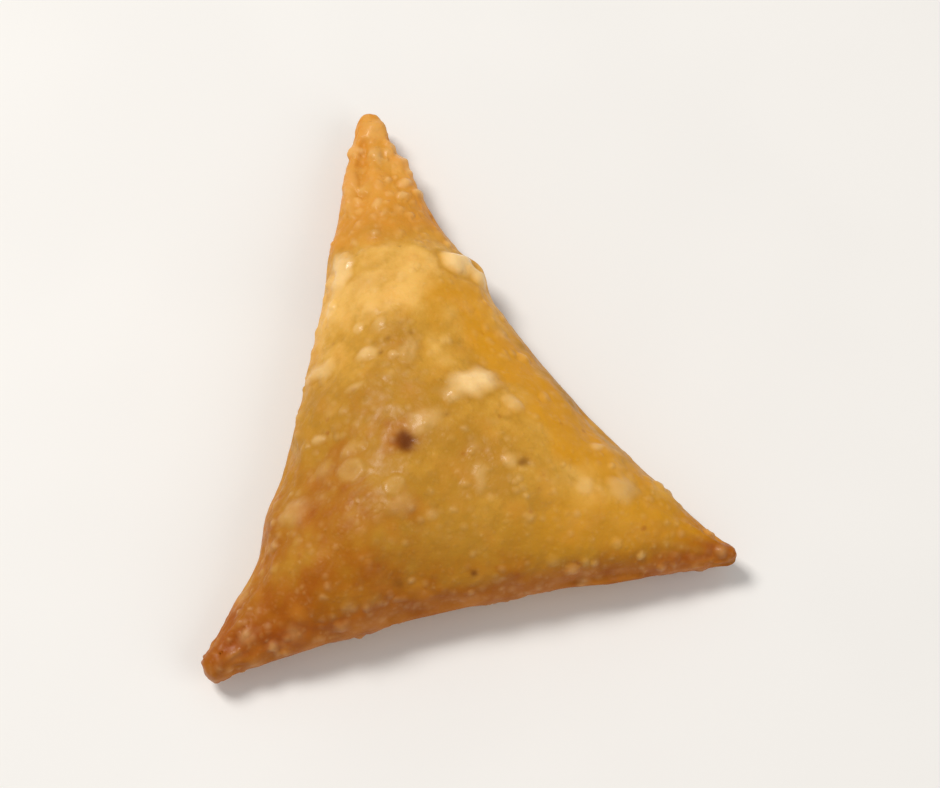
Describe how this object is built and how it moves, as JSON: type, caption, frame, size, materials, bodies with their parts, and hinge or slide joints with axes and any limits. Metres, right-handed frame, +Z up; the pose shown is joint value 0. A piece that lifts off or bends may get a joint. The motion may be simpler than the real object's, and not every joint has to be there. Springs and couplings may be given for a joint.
{
  "type": "samosa",
  "caption": "Fried samosa folded from a thin dough strip: a plump closed triangle with flaring corners, a blunt tip and a flat belly.",
  "frame": {"origin": "on the surface that the samosa lies on, below the middle of its bounding box", "axes": "+X along the base fold, from the left corner to the right corner as seen from above; +Y from the base fold to the tip; +Z up, out of the crown"},
  "size_m": [0.0806, 0.0844, 0.0196],
  "materials": {
    "pastry": "deep-fried strip dough: golden to orange-brown, finely blistered, with a thin film of oil"
  },
  "bodies": {
    "root": {"samosa": "pastry"}
  },
  "joints": []
}
